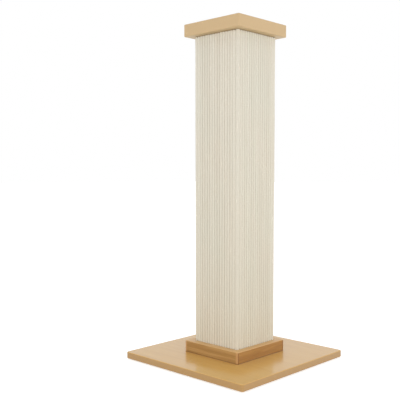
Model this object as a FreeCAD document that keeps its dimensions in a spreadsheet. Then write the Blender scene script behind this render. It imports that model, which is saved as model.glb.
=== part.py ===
import FreeCAD, Part

import math
import os

import Sketcher
from FreeCAD import Placement, Rotation, Vector

# A tall cat scratching post. A hollow square core of four panels is wrapped in a sleeve of ribbed
# woven sisal. Its foot stands in a plinth of four mitred rails, which clamp the lower hem of the
# sleeve, and two bolts pull it down onto a square base board. A square cap board closes the top.
#
# Millimetres, +Z up. The origin is the middle of the footprint, on the floor under the foot pads.
# The front is -Y and the right is +X. The sleeve's seam is on the back.

SIZES = {
    # the whole
    "overall_height": 813,
    # base board, cap board, which stands out past the sleeve, and the bevel that eases their edges
    "base_side": 380,
    "base_thick": 16,
    "base_corner": 6,
    "cap_overhang": 18.3,
    "cap_thick": 29,
    "cap_corner": 3,
    "board_ease": 1.2,
    # foot pads under the base board, each centred this far in from two edges
    "foot_side": 25,
    "foot_thick": 1.5,
    "foot_inset": 30,
    # mitred plinth, with a ledge round the sleeve and a rebate that clamps the sleeve's hem
    "plinth_ledge": 17,
    "plinth_height": 28,
    "plinth_corner": 2.5,
    "hem_tuck": 18,
    "hem_gap": 2,
    # core of panels and blocks: the side panels are let into rebates of the front and back ones
    "core_side": 131,
    "core_ease": 1.5,
    "panel_thick": 12,
    "panel_rebate": 4,
    "block_thick": 24,
    # sisal sleeve: a web that carries upright ribs, with a round rib on each corner
    "wrap_gap": 0.3,
    "web_thick": 1.8,
    "rib_height": 1.6,
    "rib_pitch": 8,
    "rib_valley": 0.8,
    "corner_rib_radius": 4.5,
    "seam_gap": 0.8,
    # clearance all round a shaft in its hole, and past the blind end of a hole
    "fit_gap": 0.15,
    "end_gap": 1,
    # two bolts through the base board, each with two washers and a tee nut
    "bolt_spacing": 60,
    "bolt_dia": 8,
    "bolt_length": 40,
    "bolt_hole_dia": 9,
    "bolt_chamfer": 1,
    "head_dia": 14,
    "head_height": 4,
    "head_bevel": 1,
    "hex_flats": 5,
    "hex_depth": 2.6,
    "head_recess": 1,
    "counterbore_dia": 20,
    "flat_washer_dia": 16,
    "flat_washer_thick": 1.6,
    "lock_washer_dia": 14.8,
    "lock_washer_thick": 2,
    "lock_washer_split": 1.2,
    "nut_barrel_dia": 10,
    "nut_barrel_length": 11,
    "nut_flange_dia": 22,
    "nut_flange_thick": 1.5,
    "prong_width": 3.2,
    "prong_length": 7,
    # glued dowels between the top block and the cap
    "dowel_dia": 8,
    "dowel_length": 30,
    "dowel_spread": 36,
}

DOC = FreeCAD.newDocument("ScratchingPost")
SHEET = DOC.addObject("Spreadsheet::Sheet", "Sizes")
for row, (alias, size) in enumerate(SIZES.items(), start=1):
    SHEET.set(f"A{row}", str(size))
    SHEET.setAlias(f"A{row}", alias)
DOC.recompute()

# Heights of the main joints above the floor.
BASE_TOP = "(Sizes.foot_thick + Sizes.base_thick)"
CAP_BOTTOM = "(Sizes.overall_height - Sizes.cap_thick)"
POST_LENGTH = f"({CAP_BOTTOM} - {BASE_TOP})"

# Half widths, from the middle of the post outwards.
CORE_HALF = "(Sizes.core_side / 2)"
BLOCK_SIDE = "(Sizes.core_side - 2 * Sizes.panel_thick)"
BLOCK_HALF = f"({BLOCK_SIDE} / 2)"
SLEEVE_INNER_HALF = f"({CORE_HALF} + Sizes.wrap_gap)"
WEB_HALF = f"({SLEEVE_INNER_HALF} + Sizes.web_thick)"
CREST_HALF = f"({WEB_HALF} + Sizes.rib_height)"
REBATE_HALF = f"({CREST_HALF} + Sizes.wrap_gap)"
PLINTH_HALF = f"({REBATE_HALF} + Sizes.plinth_ledge)"
CAP_SIDE = f"(2 * ({CREST_HALF} + Sizes.cap_overhang))"

# A face has one corner rib at each end and flat ribs at an even pitch between them.
RIBS_PER_FACE = f"floor(2 * {CREST_HALF} / Sizes.rib_pitch - 2)"
FIRST_RIB = f"(-({RIBS_PER_FACE} - 1) / 2 * Sizes.rib_pitch)"

BOLT_X = "(Sizes.bolt_spacing / 2)"
COUNTERBORE_DEPTH = (
    "(Sizes.head_recess + Sizes.head_height + Sizes.lock_washer_thick + Sizes.flat_washer_thick)"
)
NUT_HOLE_DIA = "(Sizes.nut_barrel_dia + 2 * Sizes.fit_gap)"
DOWEL_HOLE_DIA = "(Sizes.dowel_dia + 2 * Sizes.fit_gap)"
DOWEL_HOLE_DEPTH = "(Sizes.dowel_length / 2 + Sizes.end_gap)"

# Quarter turns about Z that bring a piece drawn at the front to each side.
SIDES = {"front": 0, "right": 90, "back": 180, "left": 270}


def value(expression):
    """The number that an expression of the sheet's sizes gives now."""
    return float(SHEET.evalExpression(expression))


# ---------------------------------------------------------------- bodies, sketches and features


def new_body(label, height="0", turn=0, across="0", along="0"):
    """An empty body at a place in the assembly, turned about Z."""
    body = DOC.addObject("PartDesign::Body", label)
    body.Label = label
    body.Placement = Placement(Vector(), Rotation(Vector(0, 0, 1), turn))
    body.setExpression("Placement.Base.x", across)
    body.setExpression("Placement.Base.y", along)
    body.setExpression("Placement.Base.z", height)
    return body


def origin_feature(body, role):
    """The body's own origin plane or axis with this role."""
    for feature in body.Origin.OriginFeatures:
        if feature.Role == role:
            return feature
    raise LookupError(role)


def new_sketch(body, name, plane, offset="0"):
    """An empty sketch on one of the body's origin planes, moved along that plane's normal."""
    sketch = body.newObject("Sketcher::SketchObject", f"{body.Name}_{name}")
    sketch.AttachmentSupport = [(origin_feature(body, plane), "")]
    sketch.MapMode = "FlatFace"
    sketch.setExpression("AttachmentOffset.Base.z", offset)
    return sketch


def bind(sketch, constraint, name, expression):
    """Add a dimension to the sketch and tie it to an expression."""
    index = sketch.addConstraint(constraint)
    sketch.renameConstraint(index, name)
    sketch.setExpression(f"Constraints.{name}", expression)


def bind_point(sketch, edge, vertex, point):
    """Tie a point of an edge to a pair of expressions, measured from the sketch's origin."""
    for kind, expression in zip(("DistanceX", "DistanceY"), point):
        dimension = Sketcher.Constraint(kind, -1, 1, edge, vertex, value(expression))
        bind(sketch, dimension, f"{kind}_{edge}_{vertex}", expression)


def add_outline(sketch, corners):
    """Draw a closed outline, counterclockwise. A corner is (x, y), or (x, y, radius) where the edge
    that leaves it is an arc that bulges outwards."""
    first = sketch.GeometryCount
    points = [Vector(value(corner[0]), value(corner[1]), 0) for corner in corners]
    count = len(corners)
    for index, corner in enumerate(corners):
        start = points[index]
        end = points[(index + 1) % count]
        if len(corner) == 2:
            sketch.addGeometry(Part.LineSegment(start, end))
            continue
        chord = end - start
        radius = value(corner[2])
        rise = radius - math.sqrt(radius**2 - chord.Length**2 / 4)
        outward = Vector(chord.y, -chord.x, 0).normalize()
        sketch.addGeometry(Part.Arc(start, (start + end) / 2 + outward * rise, end))
    for index, corner in enumerate(corners):
        edge = first + index
        following = first + (index + 1) % count
        sketch.addConstraint(Sketcher.Constraint("Coincident", edge, 2, following, 1))
        bind_point(sketch, edge, 1, corner[:2])
        if len(corner) == 3:
            arc = Sketcher.Constraint("Radius", edge, value(corner[2]))
            bind(sketch, arc, f"Radius_{edge}", corner[2])


def add_circle(sketch, centre, diameter):
    """Draw a circle at a pair of expressions."""
    middle = Vector(value(centre[0]), value(centre[1]), 0)
    edge = sketch.addGeometry(Part.Circle(middle, Vector(0, 0, 1), value(diameter) / 2))
    bind_point(sketch, edge, 3, centre)
    bind(sketch, Sketcher.Constraint("Diameter", edge, value(diameter)), f"Diameter_{edge}", diameter)


def box_corners(left, right, low, high):
    """The corners of an upright rectangle."""
    return [(left, low), (right, low), (right, high), (left, high)]


def rounded_square(side, radius):
    """The corners of a square about the origin whose four corners are arcs."""
    outer = f"({side} / 2)"
    inner = f"({side} / 2 - {radius})"
    return [
        (f"-{inner}", f"-{outer}"),
        (inner, f"-{outer}", radius),
        (outer, f"-{inner}"),
        (outer, inner, radius),
        (inner, outer),
        (f"-{inner}", outer, radius),
        (f"-{outer}", inner),
        (f"-{outer}", f"-{inner}", radius),
    ]


def add_feature(body, kind, name, grows):
    """Add a feature to the body. The returned function recomputes it and tests its effect."""
    before = body.Shape.Volume if body.Tip else 0
    feature = body.newObject(f"PartDesign::{kind}", f"{body.Name}_{name}")

    def finish():
        DOC.recompute()
        change = body.Shape.Volume - before
        if change == 0 or (change > 0) != grows:
            raise ValueError(f"{feature.Name} changes the volume by {change:.3f}")
        return feature

    return feature, finish


def pad(body, name, sketch, length):
    """Raise a sketch along its normal."""
    feature, finish = add_feature(body, "Pad", name, grows=True)
    feature.Profile = sketch
    feature.setExpression("Length", length)
    return finish()


def pocket(body, name, sketch, depth, upwards=False):
    """Cut a sketch to a depth, against its normal, or along it where upwards."""
    feature, finish = add_feature(body, "Pocket", name, grows=False)
    feature.Profile = sketch
    feature.Reversed = upwards
    feature.setExpression("Length", depth)
    return finish()


def counterbored_holes(body, name, sketch, diameter, seat_dia, seat_depth, upwards=False):
    """Drill right through at each circle of a sketch, with a wider seat at the sketch's end."""
    feature, finish = add_feature(body, "Hole", name, grows=False)
    feature.Profile = sketch
    feature.Reversed = upwards
    feature.DepthType = "ThroughAll"
    feature.HoleCutType = "Counterbore"
    feature.HoleCutCustomValues = True
    feature.setExpression("Diameter", diameter)
    feature.setExpression("HoleCutDiameter", seat_dia)
    feature.setExpression("HoleCutDepth", seat_depth)
    return finish()


def revolve(body, name, axis_x, corners):
    """Turn an outline, drawn upright in the XZ plane, about an upright line at this X."""
    sketch = new_sketch(body, f"{name}_outline", "XZ_Plane")
    low = Vector(value(axis_x), 0, 0)
    axis = sketch.addGeometry(Part.LineSegment(low, low + Vector(0, 1, 0)), True)
    sketch.addConstraint(Sketcher.Constraint("Vertical", axis))
    bind_point(sketch, axis, 1, (axis_x, "0"))
    add_outline(sketch, corners)
    DOC.recompute()
    feature, finish = add_feature(body, "Revolution", name, grows=True)
    feature.Profile = sketch
    feature.ReferenceAxis = (sketch, ["Axis0"])
    return finish()


def ease(body, name, chosen):
    """Bevel the edges of the body that a test chooses."""
    solid = body.Tip
    edges = [f"Edge{i}" for i, edge in enumerate(solid.Shape.Edges, start=1) if chosen(edge)]
    feature, finish = add_feature(body, "Chamfer", name, grows=False)
    feature.Base = (solid, edges)
    feature.setExpression("Size", "Sizes.board_ease")
    return finish()


def lies_at_height(edge, height):
    """Whether an edge lies flat in the body's plane at this height."""
    box = edge.BoundBox
    return abs(box.ZMin - height) < 1e-4 and abs(box.ZMax - height) < 1e-4


def around_z(body, name, features, copies):
    """Repeat features at even turns about the body's Z axis."""
    pattern = body.newObject("PartDesign::PolarPattern", f"{body.Name}_{name}")
    pattern.Originals = features
    pattern.Axis = (origin_feature(body, "Z_Axis"), [""])
    pattern.Angle = 360
    pattern.Occurrences = copies
    body.Tip = pattern
    DOC.recompute()
    return pattern


def in_rows_around_z(body, name, features, spacing, count, copies):
    """Repeat features in a row along X, and that row at even turns about Z."""
    rows = body.newObject("PartDesign::MultiTransform", f"{body.Name}_{name}")
    row = body.newObject("PartDesign::LinearPattern", f"{body.Name}_{name}_row")
    row.Direction = (origin_feature(body, "X_Axis"), [""])
    row.Mode = "Spacing"
    row.setExpression("Offset", spacing)
    row.setExpression("Occurrences", count)
    turns = body.newObject("PartDesign::PolarPattern", f"{body.Name}_{name}_turns")
    turns.Axis = (origin_feature(body, "Z_Axis"), [""])
    turns.Angle = 360
    turns.Occurrences = copies
    rows.Originals = features
    rows.Transformations = [row, turns]
    body.Tip = rows
    DOC.recompute()
    return rows


# ------------------------------------------------------------------------- boards, plinth, feet


def board(label, height, side, thick, corner):
    """A square board with round corners and eased edges, on the body's XY plane."""
    body = new_body(label, height)
    outline = new_sketch(body, "outline", "XY_Plane")
    add_outline(outline, rounded_square(side, corner))
    pad(body, "slab", outline, thick)
    top = value(thick)
    ease(body, "eased_edges", lambda edge: lies_at_height(edge, 0) or lies_at_height(edge, top))
    return body


def base_board():
    """The base, with two bolt holes counterbored from below."""
    body = board("base_board", "Sizes.foot_thick", "Sizes.base_side", "Sizes.base_thick",
                 "Sizes.base_corner")
    holes = new_sketch(body, "bolt_holes", "XY_Plane")
    for centre in ((f"-{BOLT_X}", "0"), (BOLT_X, "0")):
        add_circle(holes, centre, "Sizes.bolt_hole_dia")
    DOC.recompute()
    counterbored_holes(body, "counterbores", holes, "Sizes.bolt_hole_dia",
                       "Sizes.counterbore_dia", COUNTERBORE_DEPTH, upwards=True)


def cap_board():
    """The cap, with four blind dowel holes in its underside."""
    body = board("cap_board", CAP_BOTTOM, CAP_SIDE, "Sizes.cap_thick", "Sizes.cap_corner")
    holes = new_sketch(body, "dowel_holes", "XY_Plane")
    for centre in dowel_centres():
        add_circle(holes, centre, DOWEL_HOLE_DIA)
    pocket(body, "dowel_bores", holes, DOWEL_HOLE_DEPTH, upwards=True)


def foot_pad(label, side_x, side_y):
    """A thin square non-slip pad under one corner of the base."""
    reach = "(Sizes.base_side / 2 - Sizes.foot_inset)"
    body = new_body(label, across=f"{side_x} * {reach}", along=f"{side_y} * {reach}")
    square = new_sketch(body, "square", "XY_Plane")
    half = "(Sizes.foot_side / 2)"
    add_outline(square, box_corners(f"-{half}", half, f"-{half}", half))
    pad(body, "slab", square, "Sizes.foot_thick")


def plinth_rail(side):
    """One rail of the plinth. Its ends are mitred, its foot seats on the core, and a rebate above
    the foot leaves room for the sleeve's hem."""
    body = new_body(f"plinth_rail_{side}", BASE_TOP, SIDES[side])
    straight = f"({PLINTH_HALF} - Sizes.plinth_corner)"
    mitre = f"({straight} + Sizes.plinth_corner * sqrt(0.5))"
    plan = new_sketch(body, "plan", "XY_Plane")
    add_outline(
        plan,
        [
            (f"-{straight}", f"-{PLINTH_HALF}"),
            (straight, f"-{PLINTH_HALF}", "Sizes.plinth_corner"),
            (mitre, f"-{mitre}"),
            (CORE_HALF, f"-{CORE_HALF}"),
            (f"-{CORE_HALF}", f"-{CORE_HALF}"),
            (f"-{mitre}", f"-{mitre}", "Sizes.plinth_corner"),
        ],
    )
    pad(body, "rail", plan, "Sizes.plinth_height")
    rebate = new_sketch(body, "rebate", "XY_Plane", "Sizes.plinth_height")
    add_outline(
        rebate, box_corners(f"-{REBATE_HALF}", REBATE_HALF, f"-{REBATE_HALF}", f"-{CORE_HALF}")
    )
    pocket(body, "hem_rebate", rebate, "Sizes.hem_tuck + Sizes.hem_gap")
    top = value("Sizes.plinth_height")
    outside = -value(straight)
    ease(
        body,
        "eased_top",
        lambda edge: lies_at_height(edge, top) and edge.BoundBox.Center.y < outside,
    )


# --------------------------------------------------------------------------------------- core


def core_panel(side):
    """One upright panel of the core. The front and back panels have rebates that take the edges of
    the side panels, and eased outer corners for the fabric to turn over."""
    body = new_body(f"core_panel_{side}", BASE_TOP, SIDES[side])
    plan = new_sketch(body, "plan", "XY_Plane")
    inside = f"-{BLOCK_HALF}"
    if side in ("front", "back"):
        flat = f"({CORE_HALF} - Sizes.core_ease)"
        shoulder = f"-({BLOCK_HALF} + Sizes.panel_rebate)"
        corners = [
            (f"-{flat}", f"-{CORE_HALF}"),
            (flat, f"-{CORE_HALF}", "Sizes.core_ease"),
            (CORE_HALF, f"-{flat}"),
            (CORE_HALF, shoulder),
            (BLOCK_HALF, shoulder),
            (BLOCK_HALF, inside),
            (f"-{BLOCK_HALF}", inside),
            (f"-{BLOCK_HALF}", shoulder),
            (f"-{CORE_HALF}", shoulder),
            (f"-{CORE_HALF}", f"-{flat}", "Sizes.core_ease"),
        ]
    else:
        reach = f"({BLOCK_HALF} + Sizes.panel_rebate)"
        corners = box_corners(f"-{reach}", reach, f"-{CORE_HALF}", inside)
    add_outline(plan, corners)
    pad(body, "panel", plan, POST_LENGTH)


def core_block(name, height):
    """A square block, glued inside the core with its underside at this height."""
    body = new_body(f"{name}_block", height)
    plan = new_sketch(body, "plan", "XY_Plane")
    add_outline(plan, box_corners(f"-{BLOCK_HALF}", BLOCK_HALF, f"-{BLOCK_HALF}", BLOCK_HALF))
    pad(body, "block", plan, "Sizes.block_thick")
    return body


def bottom_block():
    """The block that takes the two tee nuts, let in flush with its upper face."""
    body = core_block("bottom", BASE_TOP)
    bores = new_sketch(body, "nut_bores", "XY_Plane", "Sizes.block_thick")
    for centre in ((f"-{BOLT_X}", "0"), (BOLT_X, "0")):
        add_circle(bores, centre, NUT_HOLE_DIA)
    DOC.recompute()
    counterbored_holes(body, "nut_seats", bores, NUT_HOLE_DIA,
                       "Sizes.nut_flange_dia + 2 * Sizes.fit_gap", "Sizes.nut_flange_thick")
    slots = new_sketch(body, "prong_slots", "XY_Plane", "Sizes.block_thick")
    for centre_x in (f"-{BOLT_X}", BOLT_X):
        for corners in prong_outlines(centre_x, "Sizes.fit_gap"):
            add_outline(slots, corners)
    depth = "Sizes.nut_flange_thick + Sizes.prong_length + Sizes.end_gap"
    pocket(body, "prong_bores", slots, depth)


def middle_block():
    """The block that stiffens the core half way up."""
    core_block("middle", f"{BASE_TOP} + ({POST_LENGTH} - Sizes.block_thick) / 2")


def top_block():
    """The block under the cap, with the lower halves of the dowel holes."""
    body = core_block("top", f"{CAP_BOTTOM} - Sizes.block_thick")
    holes = new_sketch(body, "dowel_holes", "XY_Plane", "Sizes.block_thick")
    for centre in dowel_centres():
        add_circle(holes, centre, DOWEL_HOLE_DIA)
    pocket(body, "dowel_bores", holes, DOWEL_HOLE_DEPTH)


# -------------------------------------------------------------------------------- sisal sleeve


def sisal_sleeve():
    """The woven sisal, as one wall whose upright ribs stand out of a thin web. It is open at one
    valley of the back face, where its two edges meet."""
    bottom = f"({BASE_TOP} + Sizes.plinth_height - Sizes.hem_tuck)"
    body = new_body("sisal_sleeve", bottom)
    length = f"({CAP_BOTTOM} - Sizes.wrap_gap - {bottom})"

    web = new_sketch(body, "web", "XY_Plane")
    add_outline(web, box_corners(f"-{WEB_HALF}", WEB_HALF, f"-{WEB_HALF}", WEB_HALF))
    pad(body, "web_pad", web, length)

    rib_half = "((Sizes.rib_pitch - Sizes.rib_valley) / 2)"
    rib_radius = f"(({rib_half}^2 + Sizes.rib_height^2) / (2 * Sizes.rib_height))"
    root = f"-({WEB_HALF} - Sizes.web_thick / 2)"
    rib = new_sketch(body, "rib", "XY_Plane")
    add_outline(
        rib,
        [
            (f"({FIRST_RIB} - {rib_half})", f"-{WEB_HALF}", rib_radius),
            (f"({FIRST_RIB} + {rib_half})", f"-{WEB_HALF}"),
            (f"({FIRST_RIB} + {rib_half})", root),
            (f"({FIRST_RIB} - {rib_half})", root),
        ],
    )
    first_rib = pad(body, "rib_pad", rib, length)
    in_rows_around_z(body, "ribs", [first_rib], "Sizes.rib_pitch", RIBS_PER_FACE, len(SIDES))

    corner = f"({CREST_HALF} - Sizes.corner_rib_radius)"
    corner_rib = new_sketch(body, "corner_rib", "XY_Plane")
    add_circle(corner_rib, (corner, corner), "2 * Sizes.corner_rib_radius")
    first_corner = pad(body, "corner_rib_pad", corner_rib, length)
    around_z(body, "corner_ribs", [first_corner], len(SIDES))

    bore = new_sketch(body, "bore", "XY_Plane", length)
    add_outline(bore, rounded_square(f"(2 * {SLEEVE_INNER_HALF})", "(Sizes.core_ease + Sizes.wrap_gap)"))
    pocket(body, "core_bore", bore, length)

    valley = f"({FIRST_RIB} + Sizes.rib_pitch / 2)"
    seam = new_sketch(body, "seam", "XY_Plane", length)
    add_outline(
        seam,
        box_corners(f"({valley} - Sizes.seam_gap / 2)", f"({valley} + Sizes.seam_gap / 2)",
                    CORE_HALF, REBATE_HALF),
    )
    pocket(body, "seam_slit", seam, length)


# ---------------------------------------------------------------------------------- fasteners


def prong_outlines(centre_x, gap):
    """Four rectangles at the rim of a tee nut's flange, each grown by a gap all round."""
    outer = f"(Sizes.nut_flange_dia / 2 - Sizes.nut_flange_thick / 2 + {gap})"
    inner = f"(Sizes.nut_flange_dia / 2 - 1.5 * Sizes.nut_flange_thick - {gap})"
    half = f"(Sizes.prong_width / 2 + {gap})"
    return [
        box_corners(f"({centre_x} + {inner})", f"({centre_x} + {outer})", f"-{half}", half),
        box_corners(f"({centre_x} - {outer})", f"({centre_x} - {inner})", f"-{half}", half),
        box_corners(f"({centre_x} - {half})", f"({centre_x} + {half})", inner, outer),
        box_corners(f"({centre_x} - {half})", f"({centre_x} + {half})", f"-{outer}", f"-{inner}"),
    ]


def dowel_centres():
    """The four dowels' places about the middle of the post."""
    reach = "(Sizes.dowel_spread / 2)"
    return [(x, y) for x in (f"-{reach}", reach) for y in (f"-{reach}", reach)]


def bolt_ring(label, height, outer_dia, thick):
    """Two plain washers, one round each bolt."""
    body = new_body(label, height)
    inner = f"({BOLT_X} + Sizes.bolt_dia / 2 + Sizes.fit_gap)"
    outer = f"({BOLT_X} + {outer_dia} / 2)"
    ring = revolve(body, "ring", BOLT_X, box_corners(inner, outer, "0", thick))
    return body, ring


def base_bolts():
    """Two flat-headed bolts with hexagon sockets, heads down in the base's counterbores."""
    body = new_body("base_bolts", "Sizes.foot_thick + Sizes.head_recess")
    tip = "(Sizes.head_height + Sizes.bolt_length)"
    shank = f"({BOLT_X} + Sizes.bolt_dia / 2)"
    rim = f"({BOLT_X} + Sizes.head_dia / 2)"
    bolt = revolve(
        body, "bolt", BOLT_X,
        [
            (BOLT_X, "0"),
            (f"({rim} - Sizes.head_bevel)", "0"),
            (rim, "Sizes.head_bevel"),
            (rim, "Sizes.head_height"),
            (shank, "Sizes.head_height"),
            (shank, f"({tip} - Sizes.bolt_chamfer)"),
            (f"({shank} - Sizes.bolt_chamfer)", tip),
            (BOLT_X, tip),
        ],
    )
    socket = new_sketch(body, "socket", "XY_Plane")
    across_corners = "(Sizes.hex_flats / sqrt(3))"
    corners = []
    for sixth in range(6):
        turn = f"{60 * sixth} deg"
        corners.append((f"({BOLT_X} + {across_corners} * cos({turn}))",
                        f"({across_corners} * sin({turn}))"))
    add_outline(socket, corners)
    hexagon = pocket(body, "hexagon", socket, "Sizes.hex_depth", upwards=True)
    around_z(body, "pair", [bolt, hexagon], 2)


def flat_washers():
    """The washers that bear on the floor of the counterbores."""
    height = f"Sizes.foot_thick + {COUNTERBORE_DEPTH} - Sizes.flat_washer_thick"
    body, ring = bolt_ring("flat_washers", height, "Sizes.flat_washer_dia",
                           "Sizes.flat_washer_thick")
    around_z(body, "pair", [ring], 2)


def lock_washers():
    """The split washers between the bolt heads and the flat washers."""
    height = "Sizes.foot_thick + Sizes.head_recess + Sizes.head_height"
    body, ring = bolt_ring("lock_washers", height, "Sizes.lock_washer_dia",
                           "Sizes.lock_washer_thick")
    split = new_sketch(body, "split", "XY_Plane", "Sizes.lock_washer_thick")
    half = "(Sizes.lock_washer_split / 2)"
    add_outline(split, box_corners(BOLT_X, f"({BOLT_X} + Sizes.lock_washer_dia)", f"-{half}", half))
    gap = pocket(body, "gap", split, "Sizes.lock_washer_thick")
    around_z(body, "pair", [ring, gap], 2)


def tee_nuts():
    """Two tee nuts: a flange and a barrel in one, with four prongs bent down into the block."""
    flange_top = f"({BASE_TOP} + Sizes.block_thick)"
    body = new_body("tee_nuts", f"{flange_top} - Sizes.nut_flange_thick")
    bore = f"({BOLT_X} + Sizes.bolt_dia / 2 + Sizes.fit_gap)"
    barrel = f"({BOLT_X} + Sizes.nut_barrel_dia / 2)"
    rim = f"({BOLT_X} + Sizes.nut_flange_dia / 2)"
    barrel_end = "(Sizes.nut_flange_thick - Sizes.nut_barrel_length)"
    shell = revolve(
        body, "shell", BOLT_X,
        [
            (bore, barrel_end),
            (barrel, barrel_end),
            (barrel, "0"),
            (rim, "0"),
            (rim, "Sizes.nut_flange_thick"),
            (bore, "Sizes.nut_flange_thick"),
        ],
    )
    prongs = new_sketch(body, "prongs", "XY_Plane", "-Sizes.prong_length")
    for corners in prong_outlines(BOLT_X, "0"):
        add_outline(prongs, corners)
    prong_pad = pad(body, "prong_pad", prongs, "Sizes.prong_length + Sizes.nut_flange_thick / 2")
    around_z(body, "pair", [shell, prong_pad], 2)


def cap_dowels():
    """Four plain dowels, half in the top block and half in the cap."""
    body = new_body("cap_dowels", f"{CAP_BOTTOM} - Sizes.dowel_length / 2")
    ends = new_sketch(body, "ends", "XY_Plane")
    for centre in dowel_centres():
        add_circle(ends, centre, "Sizes.dowel_dia")
    pad(body, "dowels", ends, "Sizes.dowel_length")


# ------------------------------------------------------------------------------------ assembly


def build():
    """Make every piece of the post."""
    base_board()
    for label, side_x, side_y in (
        ("foot_pad_front_left", -1, -1),
        ("foot_pad_front_right", 1, -1),
        ("foot_pad_back_right", 1, 1),
        ("foot_pad_back_left", -1, 1),
    ):
        foot_pad(label, side_x, side_y)
    for side in SIDES:
        plinth_rail(side)
        core_panel(side)
    bottom_block()
    middle_block()
    top_block()
    sisal_sleeve()
    cap_board()
    cap_dowels()
    base_bolts()
    lock_washers()
    flat_washers()
    tee_nuts()


def check():
    """Stop at any object that failed to compute, or any piece without a valid shape."""
    DOC.recompute()
    for item in DOC.Objects:
        if "Invalid" in item.State or "Error" in item.State:
            raise ValueError(f"{item.Name} failed: {item.State}")
    for piece in pieces():
        if piece.Shape.isNull() or not piece.Shape.isValid() or not piece.Shape.Solids:
            raise ValueError(f"{piece.Label} has no valid solid")


def pieces():
    """Every sub-part of the post."""
    return [item for item in DOC.Objects if item.TypeId == "PartDesign::Body"]


def write():
    """Write one file for each sub-part, named by its label."""
    os.makedirs("parts", exist_ok=True)
    for piece in pieces():
        piece.Shape.exportStep(f"parts/{piece.Label}.step")
        box = piece.Shape.BoundBox
        print(f"{piece.Label:24s} solids {len(piece.Shape.Solids):2d}  volume {piece.Shape.Volume:12.1f}"
              f"  z {box.ZMin:8.2f} to {box.ZMax:8.2f}")


build()
check()
write()
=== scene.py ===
"""Looks for the sisal scratching post: camera, soft studio, materials and the woven sisal sleeve.

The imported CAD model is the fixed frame. The sisal sleeve is a woven sheet built here, with its loose
hairs and the staples that close its seam. Everything else keeps its CAD shape and gets a material.
Lengths are in metres. Front is -Y and right is +X, and the camera looks at their common corner.
"""

import math

import bpy
import numpy as np
from mathutils import Matrix, Vector


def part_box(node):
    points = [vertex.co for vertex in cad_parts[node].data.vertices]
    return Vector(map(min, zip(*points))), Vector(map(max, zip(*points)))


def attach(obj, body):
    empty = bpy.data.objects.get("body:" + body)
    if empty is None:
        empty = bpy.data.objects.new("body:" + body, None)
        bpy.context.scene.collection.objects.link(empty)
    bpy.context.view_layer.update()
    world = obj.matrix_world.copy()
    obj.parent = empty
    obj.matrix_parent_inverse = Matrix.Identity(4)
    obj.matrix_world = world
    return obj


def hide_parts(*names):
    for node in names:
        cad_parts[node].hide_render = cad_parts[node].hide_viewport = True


MM = 0.001
SEED = 7

# The camera of the photograph, found from the edges of the boards.
CAMERA_PLACE = (1.0693, -1.2118, 0.4547)
CAMERA_YAW_DEG = 133.387
CAMERA_PITCH_DEG = -4.137
SENSOR_MM = 36.0
FOCAL_PX = 659.96
CENTRE_PX = (211.79, 221.91)
IMAGE_PX = 400

# Studio: strengths at which a colour renders about as it is written. Each lamp has its name, its
# place, the length of its side and its power in watts.
SKY_LIGHT = 0.81
SKY_SEEN = 1.0
FLOOR_COLOUR = (0.86, 0.86, 0.86)
FLOOR_GLOW = 0.50
FLOOR_SIZE = 60.0
LAMPS = (
    ("key_light", (1.52, -1.48, 0.50), 1.0, 1.4),
    ("low_light", (1.35, -1.33, 0.14), 0.25, 7.6),
    ("left_light", (-0.95, -1.75, 0.45), 0.9, 3.2),
    ("right_light", (1.50, 1.35, 0.45), 0.9, 6.0),
)
LAMP_TARGET = (0.0, 0.0, 0.70)

# The sisal sleeve, as the CAD sleeve has it, and how finely its outline is drawn.
RIBS_PER_FACE = 15
RIB_PITCH = 8.0 * MM
RIB_HEIGHT = 1.6 * MM
WEB_THICK = 1.8 * MM
CORNER_RADIUS = 4.5 * MM
CORNER_FULLNESS = 2.2
COLUMNS_PER_RIB = 7
COLUMNS_PER_CORNER = 11
SEAM_GAP = 0.8 * MM
SEAM_FACE = 2
SEAM_PLACE = 52.0 * MM

# Its weave: floats of yarn lying across each rib, set over by a third of a pitch on every other rib.
FLOAT_PITCH = 2.6 * MM
ROWS_PER_FLOAT = 3
FLOAT_HEIGHT = 0.32 * MM
FLOAT_STAGGER = 1.0 / 3.0
FLOAT_SLANT = 0.22
FLOAT_SWELL = (0.85, 1.12)
CREST_VARIATION = 0.16
CREST_LENGTH = 70.0 * MM

# The valleys between the ribs, each as deep as its share, and shallower beside a corner.
VALLEY_DEPTH = 0.75 * MM
VALLEY_SHARES = (0.40, 0.85)
VALLEY_WIDTH = 0.6
VALLEY_ZIGZAG = 0.30 * MM
VALLEY_WANDER = 0.42 * MM
WANDER_LENGTH = 110.0 * MM
SEAM_WANDER = 0.15
SEAM_VALLEY_SHARE = 0.6
CORNER_STEPS = (0.5, 1.5, 2.5, 3.5)
CORNER_VALLEYS = (0.25, 0.60, 0.90, 1.0)

# At the cap and at the foot rails the valleys are cut deeper and take a deeper, browner painted shade,
# and the top is frayed.
END_REACH = 5.0 * MM
END_NOTCH = 0.8 * MM
END_PAINTED_SHADE = 1.6
END_TEETH = 2.2 * MM
END_FRAY = 0.4 * MM

# The painted shade in the valleys and in the creases between the floats. 1 is the most away from the
# ends.
VALLEY_PAINTED_SHADE = 0.60
VALLEY_PAINTED_SHADE_BY_DEPTH = 0.35
VALLEY_FALL = 1.5
CREASE_PAINTED_SHADE = 0.36

# How far the ribs' tones differ, and how each one drifts along its rib.
RIB_TONE = 0.17
RIB_TONE_LIMIT = 0.5
TONE_DRIFT = 0.20
DRIFT_LENGTH = 160.0 * MM

# Painted shade and light on the yarn: warmer and darker towards the foot as painted shade, and paler
# just under the cap as painted light.
PAINTED_FOOT_SHADE_FROM = 50.0 * MM
PAINTED_FOOT_SHADE_TO = 640.0 * MM
TOP_PAINTED_LIGHT = 1.0
TOP_PAINTED_LIGHT_REACH = 18.0 * MM

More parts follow.
